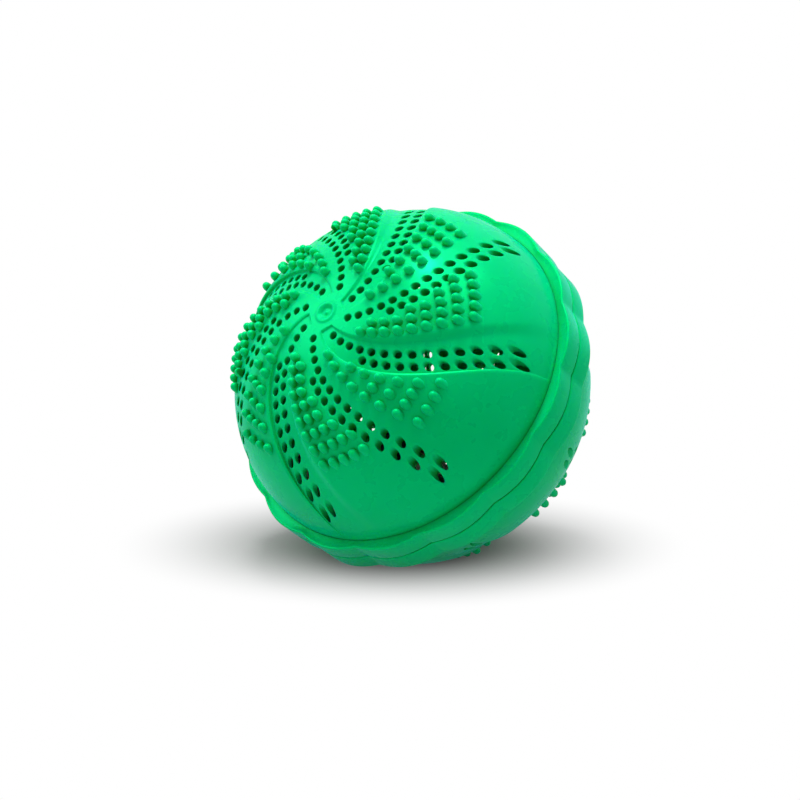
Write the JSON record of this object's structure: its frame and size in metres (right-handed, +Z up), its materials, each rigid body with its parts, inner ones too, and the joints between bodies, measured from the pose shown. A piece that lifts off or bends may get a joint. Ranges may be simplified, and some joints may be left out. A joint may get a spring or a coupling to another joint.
{
  "type": "laundry ball",
  "caption": "Perforated, studded plastic laundry ball of two domes in scalloped bands; the front band turns to unlock and the front half lifts off to refill the loose ceramic beads.",
  "frame": {"origin": "on the floor under the ball, at the centre of the foot of its bounding box", "axes": "+X lies in the seam plane and level, +Z is up, and the front pole points towards -Y and 35 degrees up"},
  "size_m": [0.1, 0.094, 0.0954],
  "materials": {
    "green_plastic": "satin gloss, moulded in colour",
    "bead_red": "unglazed",
    "bead_grey": "unglazed",
    "bead_ivory": "unglazed",
    "bead_dark": "unglazed"
  },
  "bodies": {
    "rear_half": {"rear_dome": "green_plastic", "base_band": "green_plastic", "bead_red_01": "bead_red", "bead_grey_02": "bead_grey", "bead_ivory_03": "bead_ivory", "bead_dark_04": "bead_dark", "bead_red_05": "bead_red", "bead_grey_06": "bead_grey", "bead_ivory_07": "bead_ivory", "bead_dark_08": "bead_dark", "bead_red_09": "bead_red", "bead_grey_10": "bead_grey", "bead_ivory_11": "bead_ivory", "bead_dark_12": "bead_dark", "bead_red_13": "bead_red", "bead_grey_14": "bead_grey", "bead_ivory_15": "bead_ivory", "bead_dark_16": "bead_dark", "bead_red_17": "bead_red", "bead_grey_18": "bead_grey", "bead_ivory_19": "bead_ivory", "bead_dark_20": "bead_dark", "bead_red_21": "bead_red", "bead_grey_22": "bead_grey", "bead_ivory_23": "bead_ivory", "bead_dark_24": "bead_dark", "bead_red_25": "bead_red", "bead_grey_26": "bead_grey", "bead_ivory_27": "bead_ivory", "bead_dark_28": "bead_dark", "bead_red_29": "bead_red", "bead_grey_30": "bead_grey", "bead_ivory_31": "bead_ivory", "bead_dark_32": "bead_dark", "bead_red_33": "bead_red", "bead_grey_34": "bead_grey"},
    "front_half": {"front_dome": "green_plastic"},
    "lock_ring": {"locking_band": "green_plastic"}
  },
  "joints": [
    {"name": "lift_off", "type": "slide", "parent": "rear_half", "child": "front_half", "axis": [0, -0.8192, 0.5736], "range_m": [0, 0.11]},
    {"name": "twist_lock", "type": "hinge", "parent": "front_half", "child": "lock_ring", "pos_m": [0, 0, 0.04783], "axis": [0, 0.8192, -0.5736], "range_deg": [0, 22.5]}
  ]
}
